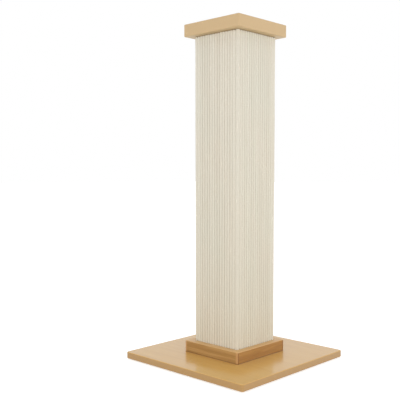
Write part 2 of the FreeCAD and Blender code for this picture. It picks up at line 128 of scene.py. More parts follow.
# The staples that close its seam, and how unevenly they are set.
STAPLE_PITCH = 46.0 * MM
STAPLE_FIRST = 70.0 * MM
STAPLE_WIDTH = 11.0 * MM
STAPLE_WIRE = 1.1 * MM
STAPLE_SIDES = 8
STAPLE_LEG = 2.2 * MM
STAPLE_BEND = 1.2 * MM
STAPLE_BEND_STEPS = 4
STAPLE_SAG = 0.15 * MM
STAPLE_SHIFT = 3.0 * MM
STAPLE_TILT = 0.09
STAPLE_SINK = (-0.15 * MM, 0.10 * MM)
STAPLE_OFF_SEAM = 0.8 * MM

# Loose hairs on the sleeve: where they grow, how long they are and how far they stand off.
FIBRE_TOTAL = 340
FIBRE_POINTS = 7
FIBRE_SIDES = 4
FIBRE_THICK = 0.26 * MM
FIBRE_TAPER = 0.6
FIBRE_LOWEST = 60.0 * MM
FIBRE_BELOW_TOP = 15.0 * MM
FIBRE_SPREAD = 1.2 * MM
FIBRE_LENGTHS = (4.0 * MM, 12.0 * MM)
FIBRE_SLOPE = 0.5
FIBRE_BEND = 0.7
FIBRE_STANDS = (0.5 * MM, 2.4 * MM)
FIBRE_FREE = (0.5, 1.0)
FIBRE_ROOT = 0.5 * MM

# The foot rails: a painted contact shadow where they meet the base board, and how softly the lines are
# drawn.
RAIL_FOOT_SHADOW = 2.0 * MM
RAIL_LINE_SHARE = 0.75
RAIL_FOOT_BLEND = 0.4 * MM
RAIL_MITRE_BLEND = 0.5 * MM


def node_box(name):
    """The lowest and highest corner of a CAD node, as two arrays."""
    low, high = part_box(name)
    return np.array(low), np.array(high)


def mesh_object(name, points, quads, rims=()):
    """A mesh object from an array of points, one of quads, and a list of longer faces."""
    mesh = bpy.data.meshes.new(name)
    faces = [np.asarray(quads, np.int32).reshape(-1)]
    sizes = [np.full(len(quads), 4, np.int32)]
    for rim in rims:
        faces.append(np.asarray(rim, np.int32))
        sizes.append(np.array([len(rim)], np.int32))
    corners = np.concatenate(faces)
    totals = np.concatenate(sizes)
    starts = np.concatenate([[0], np.cumsum(totals)[:-1]]).astype(np.int32)
    mesh.vertices.add(len(points))
    mesh.vertices.foreach_set("co", np.asarray(points, np.float32).ravel())
    mesh.loops.add(len(corners))
    mesh.loops.foreach_set("vertex_index", corners)
    mesh.polygons.add(len(totals))
    mesh.polygons.foreach_set("loop_start", starts)
    mesh.update(calc_edges=True)
    mesh.validate()
    made = bpy.data.objects.new(name, mesh)
    bpy.context.scene.collection.objects.link(made)
    return made


def shade_smooth(made):
    """Shades all of an object's faces smoothly."""
    made.data.polygons.foreach_set("use_smooth", np.ones(len(made.data.polygons), bool))


def add_point_values(made, name, values):
    """Stores one number for each vertex under a name that a material can read."""
    attribute = made.data.attributes.new(name, "FLOAT", "POINT")
    attribute.data.foreach_set("value", np.asarray(values, np.float32).ravel())


# Materials ---------------------------------------------------------------------------------------


class Nodes:
    """A material's node tree, with short calls for the nodes used here."""

    def __init__(self, name):
        self.material = bpy.data.materials.new(name)
        self.material.use_nodes = True
        self.tree = self.material.node_tree
        self.tree.nodes.clear()
        self.out = self.tree.nodes.new("ShaderNodeOutputMaterial")
        self.surface = self.tree.nodes.new("ShaderNodeBsdfPrincipled")
        self.link(self.surface.outputs["BSDF"], self.out.inputs["Surface"])
        self.place = self.tree.nodes.new("ShaderNodeTexCoord").outputs["Object"]

    def link(self, source, target):
        self.tree.links.new(source, target)

    def put(self, value, socket):
        if isinstance(value, bpy.types.NodeSocket):
            self.link(value, socket)
        else:
            socket.default_value = value

    def scaled(self, scale, source=None):
        node = self.tree.nodes.new("ShaderNodeMapping")
        self.link(source or self.place, node.inputs["Vector"])
        node.inputs["Scale"].default_value = scale
        return node.outputs["Vector"]

    def noise(self, vector, detail=3.0, rough=0.5, distort=0.0):
        node = self.tree.nodes.new("ShaderNodeTexNoise")
        self.link(vector, node.inputs["Vector"])
        node.inputs["Scale"].default_value = 1.0
        node.inputs["Detail"].default_value = detail
        node.inputs["Roughness"].default_value = rough
        node.inputs["Distortion"].default_value = distort
        return node.outputs["Fac"]

    def math(self, kind, first, second=0.5):
        node = self.tree.nodes.new("ShaderNodeMath")
        node.operation = kind
        self.put(first, node.inputs[0])
        self.put(second, node.inputs[1])
        return node.outputs[0]

    def spread(self, value, low, high, to_low=0.0, to_high=1.0):
        node = self.tree.nodes.new("ShaderNodeMapRange")
        self.put(value, node.inputs["Value"])
        node.inputs["From Min"].default_value = low
        node.inputs["From Max"].default_value = high
        node.inputs["To Min"].default_value = to_low
        node.inputs["To Max"].default_value = to_high
        return node.outputs["Result"]

    def mix(self, share, first, second, blend="MIX"):
        node = self.tree.nodes.new("ShaderNodeMix")
        node.data_type = "RGBA"
        node.blend_type = blend
        self.put(share, node.inputs[0])
        self.put(first, node.inputs[6])
        self.put(second, node.inputs[7])
        return node.outputs[2]

    def ramp(self, value, stops):
        node = self.tree.nodes.new("ShaderNodeValToRGB")
        self.link(value, node.inputs["Fac"])
        ramp = node.color_ramp
        while len(ramp.elements) < len(stops):
            ramp.elements.new(0.5)
        for element, (place, colour) in zip(ramp.elements, stops):
            element.position = place
            element.color = colour
        return node.outputs["Color"]

    def split(self, vector=None):
        node = self.tree.nodes.new("ShaderNodeSeparateXYZ")
        self.link(vector or self.place, node.inputs[0])
        return node.outputs

    def joined(self, x, y, z):
        node = self.tree.nodes.new("ShaderNodeCombineXYZ")
        self.put(x, node.inputs[0])
        self.put(y, node.inputs[1])
        self.put(z, node.inputs[2])
        return node.outputs[0]

    def point_value(self, name):
        node = self.tree.nodes.new("ShaderNodeAttribute")
        node.attribute_name = name
        return node.outputs["Fac"]

    def normal_z(self):
        node = self.tree.nodes.new("ShaderNodeNewGeometry")
        return self.split(node.outputs["True Normal"])[2]

    def bump(self, height, strength, distance):
        node = self.tree.nodes.new("ShaderNodeBump")
        node.inputs["Strength"].default_value = strength
        node.inputs["Distance"].default_value = distance
        self.link(height, node.inputs["Height"])
        self.link(node.outputs["Normal"], self.surface.inputs["Normal"])

    def set(self, **values):
        for name, value in values.items():
            self.put(value, self.surface.inputs[name.replace("_", " ").title()])


def srgb(red, green, blue):
    """A colour written as 0 to 255, as the shader takes it."""
    out = []
    for level in (red, green, blue):
        share = level / 255.0
        out.append(share / 12.92 if share <= 0.04045 else ((share + 0.055) / 1.055) ** 2.4)
    return (*out, 1.0)


def sisal_material():
    """Cream sisal: fibrous floats of yarn, painted shade in the valleys and towards the foot, each rib
    with its own tone and a painted light under the cap.
    """
    n = Nodes("sisal_weave")
    tone = n.point_value("rib_tone_and_top_light")
    valley = n.point_value("valley")
    around = n.point_value("around")
    height = n.split()[2]
    flat = n.joined(around, height, 0.0)
    fibres = n.noise(n.scaled((420.0, 2600.0, 1.0), flat), detail=4.0, rough=0.6)
    yarns = n.noise(n.scaled((90.0, 320.0, 1.0), flat), detail=2.0)
    runs = n.noise(n.scaled((150.0, 7.0, 1.0), flat), detail=3.0, rough=0.6)
    cloud = n.noise(n.scaled((9.0, 5.0, 1.0), flat), detail=2.0)
    flecks = n.noise(n.scaled((70.0, 700.0, 1.0), flat), detail=2.0, rough=0.7)
    cream = n.ramp(
        n.spread(tone, -1.0, 1.0),
        [(0.0, srgb(221, 215, 200)), (0.5, srgb(231, 226, 212)), (1.0, srgb(241, 237, 224))],
    )
    cream = n.mix(n.spread(yarns, 0.35, 0.65, 0.4, 0.0), cream, srgb(221, 213, 197))
    warm = n.mix(0.5, cream, srgb(228, 217, 203))
    cream = n.mix(n.spread(runs, 0.35, 0.75, 0.0, 0.6), cream, warm)
    cream = n.mix(n.spread(cloud, 0.35, 0.70, 0.0, 0.35), cream, srgb(221, 222, 208))
    fine = n.ramp(fibres, [(0.25, (0.90, 0.88, 0.85, 1.0)), (0.65, (1.03, 1.03, 1.03, 1.0))])
    cream = n.mix(0.8, cream, fine, "MULTIPLY")
    cream = n.mix(n.spread(flecks, 0.70, 0.80, 0.0, 0.35), cream, srgb(176, 156, 124))
    # Painted shade: darker in the valleys and creases, deepest and browner at the cap and the foot
    # rails.
    shade = n.ramp(
        n.math("DIVIDE", valley, END_PAINTED_SHADE),
        [
            (0.0, (1.0, 1.0, 1.0, 1.0)),
            (1.0 / END_PAINTED_SHADE, (0.60, 0.56, 0.49, 1.0)),
            (1.0, (0.42, 0.33, 0.22, 1.0)),
        ],
    )
    cream = n.mix(1.0, cream, shade, "MULTIPLY")
    # Painted shade: warmer and darker towards the foot.
    painted_foot_shade = n.spread(height, PAINTED_FOOT_SHADE_FROM, PAINTED_FOOT_SHADE_TO, 1.0, 0.0)
    cream = n.mix(painted_foot_shade, cream, n.mix(1.0, cream, (0.94, 0.925, 0.89, 1.0), "MULTIPLY"))
    n.set(base_color=cream, roughness=n.spread(fibres, 0.2, 0.8, 0.78, 0.95))
    n.surface.inputs["Specular IOR Level"].default_value = 0.25
    n.surface.inputs["Sheen Weight"].default_value = 0.12
    n.surface.inputs["Sheen Roughness"].default_value = 0.5
    n.bump(fibres, 0.5, 0.25 * MM)
    return n.material


def fibre_material():
    """Single sisal fibres: pale straw, a little glossy along their length."""
    n = Nodes("sisal_fibre")
    streak = n.noise(n.scaled((500.0, 500.0, 120.0)), detail=2.0)
    colour = n.ramp(streak, [(0.30, srgb(206, 188, 152)), (0.70, srgb(236, 227, 204))])
    n.set(base_color=colour, roughness=n.spread(streak, 0.2, 0.8, 0.55, 0.75))
    n.bump(streak, 0.2, 0.02 * MM)
    return n.material


def laminate_material(name, tones, edge_tone_and_painted_shade, underside_painted_shade, coat):
    """Wood-look laminate: long soft streaks and fine pores on the faces, a plainer edge band whose
    tone is darker than the top as painted shade on the base board, and painted shade on the faces that
    look down.

    The coat is the gloss over it, as its weight and its roughness.
    """
    n = Nodes(name)
    broad = n.noise(n.scaled((5.0, 60.0, 60.0)), detail=4.0, rough=0.55, distort=0.6)
    pores = n.noise(n.scaled((30.0, 900.0, 900.0)), detail=3.0, rough=0.6)
    cloud = n.noise(n.scaled((8.0, 8.0, 8.0)), detail=2.0)
    colour = n.ramp(broad, [(0.25, tones[0]), (0.5, tones[1]), (0.78, tones[2])])
    colour = n.mix(n.spread(cloud, 0.3, 0.7, 0.0, 0.35), colour, tones[1])
    pore_shade = n.ramp(pores, [(0.30, (0.93, 0.91, 0.88, 1.0)), (0.50, (1.0, 1.0, 1.0, 1.0))])
    colour = n.mix(0.7, colour, pore_shade, "MULTIPLY")
    facing = n.normal_z()
    # The side faces take the edge band's tone, which carries painted shade where it is darker than the
    # top; the faces that look down take a painted shade tone.
    colour = n.mix(n.spread(n.math("ABSOLUTE", facing), 0.3, 0.8, 1.0, 0.0), colour, edge_tone_and_painted_shade)
    colour = n.mix(n.spread(facing, -0.9, -0.5, 0.8, 0.0), colour, underside_painted_shade)
    n.set(base_color=colour, roughness=n.spread(pores, 0.3, 0.7, 0.34, 0.46))
    n.surface.inputs["Specular IOR Level"].default_value = 0.2
    n.surface.inputs["Coat Weight"].default_value = coat[0]
    n.surface.inputs["Coat Roughness"].default_value = coat[1]
    n.bump(pores, 0.10, 0.05 * MM)
    return n.material


def oak_material(name, along_x, tones, mitre_highlight_and_joint_tone, end_width):
    """Brown oak of the foot rails: grain along the rail, a mitre stripe, a painted contact shadow
    along the foot and a painted light on the top face.
    """
    n = Nodes(name)
    place = n.split()
    length = place[0] if along_x else place[1]
    depth = place[1] if along_x else place[0]
    board = n.joined(length, depth, place[2])
    waves = n.noise(n.scaled((6.0, 30.0, 150.0), board), detail=3.0, rough=0.5, distort=0.8)
    rings = n.noise(n.scaled((16.0, 120.0, 420.0), board), detail=3.0, rough=0.6, distort=0.5)
    pores = n.noise(n.scaled((90.0, 1500.0, 1500.0), board), detail=2.0, rough=0.6)
    colour = n.ramp(waves, [(0.30, tones[0]), (0.50, tones[1]), (0.70, tones[2])])
    streak = n.ramp(rings, [(0.35, (0.90, 0.86, 0.80, 1.0)), (0.60, (1.04, 1.04, 1.04, 1.0))])
    colour = n.mix(0.8, colour, streak, "MULTIPLY")
    pore_shade = n.ramp(pores, [(0.28, (0.72, 0.66, 0.58, 1.0)), (0.42, (1.0, 1.0, 1.0, 1.0))])
    colour = n.mix(0.6, colour, pore_shade, "MULTIPLY")
    low, high = node_box("plinth_rail_front")
    mitre = high[0] - end_width
    from_middle = n.math("ABSOLUTE", length)
    blend = RAIL_MITRE_BLEND
    # The mitre stripe: a light tone here is a painted highlight of the eased corner, a dark one is the
    # dark joint line.
    at_mitre = n.spread(from_middle, mitre - blend, mitre + blend, 0.0, RAIL_LINE_SHARE)
    colour = n.mix(at_mitre, colour, mitre_highlight_and_joint_tone)
    # Painted contact shadow along the foot where the rails meet the base board.
    foot_shadow_top = low[2] + RAIL_FOOT_SHADOW
    blend = RAIL_FOOT_BLEND
    in_foot_shadow = n.spread(place[2], foot_shadow_top - blend, foot_shadow_top + blend, RAIL_LINE_SHARE, 0.0)
    colour = n.mix(in_foot_shadow, colour, srgb(124, 84, 38))
    # Painted light: the top face is lighter than the sides.
    top = n.spread(n.normal_z(), 0.35, 0.75)
    colour = n.mix(top, colour, srgb(212, 168, 107))
    n.set(base_color=colour, roughness=n.spread(pores, 0.3, 0.7, 0.42, 0.55))
    n.surface.inputs["Coat Weight"].default_value = 0.25
    n.surface.inputs["Coat Roughness"].default_value = 0.25
    n.bump(pores, 0.15, 0.08 * MM)
    return n.material


def fibreboard_material():
    """Raw fibreboard: matt brown with pressed fibres."""
    n = Nodes("raw_fibreboard")
    fibres = n.noise(n.scaled((900.0, 900.0, 900.0)), detail=4.0, rough=0.65)
    cloud = n.noise(n.scaled((30.0, 30.0, 30.0)), detail=2.0)
    colour = n.ramp(fibres, [(0.30, srgb(139, 108, 74)), (0.70, srgb(183, 151, 112))])
    colour = n.mix(n.spread(cloud, 0.3, 0.7, 0.0, 0.4), colour, srgb(158, 126, 90))
    n.set(base_color=colour, roughness=n.spread(fibres, 0.2, 0.8, 0.85, 0.97))
    n.bump(fibres, 0.35, 0.2 * MM)
    return n.material


def beech_material():
    """Pale beech of the dowels, its grain running up them."""
    n = Nodes("beech_dowel")
    streak = n.noise(n.scaled((700.0, 700.0, 40.0)), detail=3.0)
    colour = n.ramp(streak, [(0.30, srgb(196, 160, 118)), (0.70, srgb(222, 192, 152))])
    n.set(base_color=colour, roughness=n.spread(streak, 0.2, 0.8, 0.55, 0.70))
    n.bump(streak, 0.2, 0.1 * MM)
    return n.material


def steel_material():
    """Bright zinc-plated steel with faint drawing marks."""
    n = Nodes("zinc_plated_steel")
    marks = n.noise(n.scaled((1400.0, 1400.0, 260.0)), detail=3.0, rough=0.6)
    bloom = n.noise(n.scaled((160.0, 160.0, 160.0)), detail=2.0)
    colour = n.ramp(bloom, [(0.30, srgb(176, 178, 180)), (0.70, srgb(206, 207, 206))])
    n.set(base_color=colour, roughness=n.spread(marks, 0.2, 0.8, 0.26, 0.42))
    n.surface.inputs["Metallic"].default_value = 1.0
    n.bump(marks, 0.15, 0.05 * MM)
    return n.material


def foot_material():
    """Dark foam rubber of the feet, with a fine open grain."""
    n = Nodes("foam_rubber")
    cells = n.noise(n.scaled((1800.0, 1800.0, 1800.0)), detail=3.0, rough=0.7)
    colour = n.ramp(cells, [(0.30, srgb(58, 54, 50)), (0.70, srgb(86, 80, 74))])
    n.set(base_color=colour, roughness=n.spread(cells, 0.2, 0.8, 0.82, 0.95))
    n.bump(cells, 0.5, 0.15 * MM)
    return n.material


# The sisal sleeve --------------------------------------------------------------------------------


def smooth_curves(random, count, heights, wavelength):
    """Smooth random curves between -1 and 1 over the heights, one for each of count."""
    top = heights[-1] - heights[0]
    knots = int(math.ceil(top / wavelength)) + 4
    values = random.uniform(-1.0, 1.0, (count, knots))
    place = (heights - heights[0]) / wavelength + 1.0
    first = np.floor(place).astype(int)
    share = place - first
    ease = share * share * (3.0 - 2.0 * share)
    return values[:, first] * (1.0 - ease) + values[:, first + 1] * ease


def sleeve_columns(crest_half):
    """The columns of points over one face and the corner after it, for the sleeve's front.

    Each column has its place, the way out of the face, the way along it, how full the yarn is
    there, its rib's number and how far it is across the rib.
    """
    columns = []
    web_half = crest_half - RIB_HEIGHT
    corner_centre = crest_half - CORNER_RADIUS
    half_rib = RIB_PITCH / 2.0
    first_rib = -(RIBS_PER_FACE - 1) / 2.0 * RIB_PITCH
    for number in range(RIBS_PER_FACE):
        centre = first_rib + number * RIB_PITCH
        for step in range(COLUMNS_PER_RIB):
            angle = math.pi * step / COLUMNS_PER_RIB
            along = centre - half_rib * math.cos(angle)
            full = math.sin(angle)
            across = (1.0 - math.cos(angle)) / 2.0
            out = web_half + RIB_HEIGHT * full
            columns.append(((along, -out), (0.0, -1.0), (1.0, 0.0), full, number, across))
    edge = (RIBS_PER_FACE / 2.0) * RIB_PITCH
    inward = corner_centre - edge
    outward = web_half - corner_centre
    start = math.atan2(-outward, -inward)
    end = math.atan2(inward, outward)
    valley_radius = math.hypot(outward, inward)
    for step in range(COLUMNS_PER_CORNER):
        across = step / COLUMNS_PER_CORNER
        angle = start + (end - start) * across
        full = min(1.0, CORNER_FULLNESS * math.sin(math.pi * across))
        radius = valley_radius + (CORNER_RADIUS - valley_radius) * full
        way = (math.cos(angle), math.sin(angle))
        point = (corner_centre + radius * way[0], -corner_centre + radius * way[1])
        columns.append((point, way, (-way[1], way[0]), full, RIBS_PER_FACE, across))
    return columns


def turned(pair, quarter):
    """A pair (x, y) turned by that many quarter turns."""
    x, y = pair
    for _ in range(quarter % 4):
        x, y = -y, x
    return (x, y)


def sleeve_ring(crest_half):
    """All columns in order from the seam round to the seam, as arrays."""
    side = sleeve_columns(crest_half)
    per_side = RIBS_PER_FACE + 1
    ring = []
    for quarter in range(4):
        for point, out, along, full, number, across in side:
            ring.append(
                (
                    turned(point, quarter),
                    turned(out, quarter),
                    turned(along, quarter),
                    full,
                    quarter * per_side + number,
                    across,
                )
            )
    seam_rib = SEAM_FACE * per_side + int(round(SEAM_PLACE / RIB_PITCH + RIBS_PER_FACE / 2.0))
    cut = next(i for i, column in enumerate(ring) if column[4] == seam_rib and column[5] == 0.0)
    ring = ring[cut:] + ring[:cut]
    ring.append(ring[0])
    arrays = [np.array([column[i] for column in ring], float) for i in range(4)]
    ribs = np.array([column[4] for column in ring])
    across = np.array([column[5] for column in ring])
    return (*arrays, ribs, across)


def corner_calm(ribs, across):
    """How deep each column's valley may be: shallower on and beside a corner rib."""
    per_side = RIBS_PER_FACE + 1
    from_corner = np.abs((ribs + across + 0.5) % per_side - per_side)
    from_corner = np.minimum(from_corner, per_side - from_corner)
    return np.interp(from_corner, CORNER_STEPS, CORNER_VALLEYS)


def near_ends(heights, top):
    """How near each row is to the foot rails' ledge or the cap, and how near to the cap alone."""
    ledge = node_box("plinth_rail_front")[1][2]
    above_ledge = np.clip(1.0 - np.abs(heights - ledge) / END_REACH, 0.0, 1.0)
    below_top = np.clip(1.0 - (top - heights) / END_REACH, 0.0, 1.0)
    return np.maximum(above_ledge, below_top)[:, None] ** 2, below_top[:, None] ** 2


def woven_face(random, low, high, ring):
    """The sleeve's outer face in rows of points, with each point's tone, which carries the painted
    light under the cap, and its painted valley shade.
    """
    places, outs, alongs, full, ribs, across = ring
    rib_total = 4 * (RIBS_PER_FACE + 1)
    floats = int(round((high[2] - low[2]) / FLOAT_PITCH))
    heights = np.linspace(low[2], high[2], floats * ROWS_PER_FLOAT + 1)
    turn = (heights - low[2]) / (high[2] - low[2]) * floats
    order = (ribs - ribs[0]) % rib_total
    order[-1] = rib_total
    next_order = np.minimum(order + 1, rib_total)

    wander = smooth_curves(random, rib_total + 1, heights, WANDER_LENGTH)
    wander[0] *= SEAM_WANDER
    wander[-1] = wander[0]
    depth = random.uniform(*VALLEY_SHARES, rib_total + 1)
    depth[-1] = depth[0] = SEAM_VALLEY_SHARE
    crest = smooth_curves(random, rib_total + 1, heights, CREST_LENGTH)
    tone = random.normal(0.0, RIB_TONE, rib_total + 1)
    tone = np.clip(tone, -RIB_TONE_LIMIT, RIB_TONE_LIMIT)
    drift = smooth_curves(random, rib_total + 1, heights, DRIFT_LENGTH)
    swell = random.uniform(*FLOAT_SWELL, (rib_total + 1, floats + 2))
    fray = END_FRAY * random.uniform(0.0, 1.0, rib_total + 1)[order]

    phase = turn[:, None] + FLOAT_STAGGER * (order % 2)[None, :]
    phase = phase + FLOAT_SLANT * (across[None, :] - 0.5)
    part = phase - np.floor(phase)
    body = np.sqrt(np.clip(1.0 - (2.0 * part - 1.0) ** 2, 0.0, 1.0))
    which = np.clip(np.floor(phase).astype(int), 0, floats + 1)
    at_end, at_top = near_ends(heights, high[2])
    calm = corner_calm(ribs, across)
    in_valley = np.clip(1.0 - full / VALLEY_WIDTH, 0.0, 1.0)
    valley_depth = np.where(across < 0.5, depth[order], depth[next_order]) * calm

    lift = FLOAT_HEIGHT * full[None, :] * body * swell[order[None, :], which]
    lift = lift + RIB_HEIGHT * CREST_VARIATION * full[None, :] * crest[order].T
    lift = lift - VALLEY_DEPTH * in_valley[None, :] * valley_depth[None, :]
    lift = lift - END_NOTCH * in_valley[None, :] * at_end

    zigzag = np.cos(2.0 * math.pi * phase) * in_valley[None, :]
    zigzag = zigzag * np.where(across < 0.5, 1.0, -1.0)[None, :]
    zigzag[:, [0, -1]] = 0.0
    shift = wander[order].T * (1.0 - across[None, :]) + wander[next_order].T * across[None, :]
    shift = VALLEY_WANDER * shift + VALLEY_ZIGZAG * zigzag
    shift[:, 0] += SEAM_GAP / 2.0
    shift[:, -1] -= SEAM_GAP / 2.0

    points = np.empty((*shift.shape, 3))
    for axis in (0, 1):
        points[:, :, axis] = places[:, axis] + outs[:, axis] * lift + alongs[:, axis] * shift
    points[:, :, 2] = heights[:, None] - (fray + END_TEETH * (1.0 - full))[None, :] * at_top

    # Painted light: the yarn is paler just under the cap, added to each point's tone.
    pale = TOP_PAINTED_LIGHT * np.clip(1.0 - (high[2] - heights) / TOP_PAINTED_LIGHT_REACH, 0.0, 1.0)
    tones = tone[order][None, :] + TONE_DRIFT * drift[order].T + pale[:, None]
    # Painted shade in the valleys, in the creases between the floats and at the ends.
    dark = (VALLEY_PAINTED_SHADE * calm + VALLEY_PAINTED_SHADE_BY_DEPTH * valley_depth)[None, :]
    dark = (1.0 - full[None, :]) ** VALLEY_FALL * np.maximum(dark, at_end * END_PAINTED_SHADE)
    dark = np.clip(dark + CREASE_PAINTED_SHADE * (1.0 - body) * full[None, :], 0.0, END_PAINTED_SHADE)
    return points, tones, dark


def closed_skin(outer, inner_half, inner_low, inner_high):
    """Points, quads and seam edges of a sheet: its outer face, a plain inner one and their rims."""
    rows, count = outer.shape[:2]
    inner_xy = np.clip(outer[0, :, :2], -inner_half, inner_half)
    inner = [np.column_stack([inner_xy, np.full(count, z)]) for z in (inner_low, inner_high)]
    points = np.concatenate([outer.reshape(-1, 3), *inner])

    row, column = np.meshgrid(np.arange(rows - 1), np.arange(count - 1), indexing="ij")
    a = row * count + column
    face = np.stack([a, a + 1, a + count + 1, a + count], axis=-1).reshape(-1, 4)
    step = np.arange(count - 1)
    bottom = rows * count
    top = bottom + count
    last = bottom - count
    low_rim = np.stack([step + 1, step, bottom + step, bottom + step + 1], axis=-1)
    high_rim = np.stack([last + step, last + step + 1, top + step + 1, top + step], axis=-1)
    inside = np.stack([bottom + step + 1, bottom + step, top + step, top + step + 1], axis=-1)
    quads = np.concatenate([face, low_rim, high_rim, inside])

    starts = np.arange(rows) * count
    first_edge = [*starts[::-1], bottom, top]
    last_edge = [*(starts + count - 1), top + count - 1, bottom + count - 1]
    return points, quads, (first_edge, last_edge)


def sisal_sleeve(fibres):
    """The woven sleeve as one closed sheet round the core, open along its seam."""
    low, high = node_box("sisal_sleeve")
    ring = sleeve_ring(high[0])
    outer, tones, dark = woven_face(np.random.default_rng(SEED), low, high, ring)
    inner_half = high[0] - RIB_HEIGHT - WEB_THICK
    inner_high = high[2] - END_FRAY - END_TEETH
    points, quads, edges = closed_skin(outer, inner_half, low[2], inner_high)
    made = mesh_object("sisal_cloth", points, quads, edges)
    shade_smooth(made)

    rows, count = outer.shape[:2]
    steps = np.linalg.norm(np.diff(ring[0], axis=0), axis=1)
    around = np.concatenate([[0.0], np.cumsum(steps)])
    # The inner face gets no tone and the full painted shade.
    inside = np.ones(2 * count)
    add_point_values(made, "rib_tone_and_top_light", np.concatenate([tones.ravel(), 0.0 * inside]))
    add_point_values(made, "valley", np.concatenate([dark.ravel(), inside]))
    add_point_values(made, "around", np.tile(around, rows + 2))
    made.data.materials.append(sisal_material())
    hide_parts("sisal_sleeve")
    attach(made, "root")


def staple_path():
    """One staple from leg to leg, as (across the seam, out of the face) from its crown's middle."""
    half = STAPLE_WIDTH / 2.0
    bend = STAPLE_BEND
    path = [(-half, -STAPLE_LEG)]
    for step in range(STAPLE_BEND_STEPS + 1):
        angle = math.pi / 2.0 * step / STAPLE_BEND_STEPS
        path.append((-half + bend * (1.0 - math.cos(angle)), -bend + bend * math.sin(angle)))
    path.append((0.0, -STAPLE_SAG))
    for step in range(STAPLE_BEND_STEPS + 1):
        angle = math.pi / 2.0 * (1.0 - step / STAPLE_BEND_STEPS)
        path.append((half - bend * (1.0 - math.cos(angle)), -bend + bend * math.sin(angle)))
    path.append((half, -STAPLE_LEG))
    return np.array(path)


def tubes(name, paths, radii, sides):
    """One mesh of closed tubes, each along its path and as thick as its radii say."""
    points = []
    quads = []
    rims = []
    angles = 2.0 * math.pi * np.arange(sides) / sides
    start = 0
    for path, radius in zip(paths, radii):
        along = np.gradient(path, axis=0)
        along = along / np.linalg.norm(along, axis=1)[:, None]
        flattest = np.eye(3)[np.argmin(np.abs(along).max(axis=0))]
        first = np.cross(along, flattest)
        first = first / np.linalg.norm(first, axis=1)[:, None]
        second = np.cross(along, first)
        ring = np.cos(angles)[None, :, None] * first[:, None, :]
        ring = ring + np.sin(angles)[None, :, None] * second[:, None, :]
        points.append((path[:, None, :] + radius[:, None, None] * ring).reshape(-1, 3))
        row, side = np.meshgrid(np.arange(len(path) - 1), np.arange(sides), indexing="ij")
        a = start + row * sides + side
        b = start + row * sides + (side + 1) % sides
        quads.append(np.stack([a, b, b + sides, a + sides], axis=-1).reshape(-1, 4))
        last = start + (len(path) - 1) * sides
        rims.append(np.arange(start, start + sides)[::-1])
        rims.append(np.arange(last, last + sides))
        start = last + sides
    made = mesh_object(name, np.concatenate(points), np.concatenate(quads), rims)
    shade_smooth(made)
    return made


def seam_staples():
    """Bent wire staples across the back seam, each set a little differently."""
    random = np.random.default_rng(SEED + 1)
    low, high = node_box("sisal_sleeve")
    shape = staple_path()
    paths = []
    for number in range(int((high[2] - STAPLE_FIRST - low[2]) / STAPLE_PITCH) + 1):
        height = STAPLE_FIRST + number * STAPLE_PITCH + random.uniform(-STAPLE_SHIFT, STAPLE_SHIFT)
        tilt = random.uniform(-STAPLE_TILT, STAPLE_TILT)
        sink = random.uniform(*STAPLE_SINK)
        middle = -SEAM_PLACE + random.uniform(-STAPLE_OFF_SEAM, STAPLE_OFF_SEAM)
        x = middle + shape[:, 0] * math.cos(tilt)
        y = high[1] + STAPLE_WIRE / 3.0 + sink + shape[:, 1]
        z = height + shape[:, 0] * math.sin(tilt)
        paths.append(np.column_stack([x, y, z]))
    radii = [np.full(len(shape), STAPLE_WIRE / 2.0)] * len(paths)
    made = tubes("seam_staples", paths, radii, STAPLE_SIDES)
    made.data.materials.append(steel_material())
    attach(made, "root")


def stray_fibres():
    """Loose sisal hairs that leave the ribs and curl over them, some with a free end."""
    random = np.random.default_rng(SEED + 2)
    high = node_box("sisal_sleeve")[1]
    share = np.linspace(0.0, 1.0, FIBRE_POINTS)
    reach = high[0] - 2.0 * CORNER_RADIUS
    paths = []
    radii = []
    for number in range(FIBRE_TOTAL):
        rib = random.integers(0, RIBS_PER_FACE) - (RIBS_PER_FACE - 1) / 2.0
        across = np.clip(rib * RIB_PITCH + random.normal(0.0, FIBRE_SPREAD), -reach, reach)
        height = random.uniform(FIBRE_LOWEST, high[2] - FIBRE_BELOW_TOP)
        length = random.uniform(*FIBRE_LENGTHS)
        slope = random.normal(0.0, FIBRE_SLOPE) + math.pi * random.integers(0, 2)
        bend = random.normal(0.0, FIBRE_BEND)
        stand = random.uniform(*FIBRE_STANDS)
        free = random.uniform(*FIBRE_FREE)
        angle = slope + bend * share
        step = length / (FIBRE_POINTS - 1)
        x = across + np.concatenate([[0.0], np.cumsum(np.sin(angle[:-1]))]) * step
        z = height + np.concatenate([[0.0], np.cumsum(np.cos(angle[:-1]))]) * step
        out = high[0] - FIBRE_ROOT + stand * np.sin(math.pi * free * share)
        flat = [turned((x[i], -out[i]), number % 4) for i in range(FIBRE_POINTS)]
        paths.append(np.column_stack([np.array(flat), z]))
        radii.append(FIBRE_THICK / 2.0 * (1.0 - FIBRE_TAPER * share ** 2))
    made = tubes("sisal_fibres", paths, radii, FIBRE_SIDES)
    made.data.materials.append(fibre_material())
    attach(made, "root")
    return made


# Dressing of the CAD nodes -----------------------------------------------------------------------


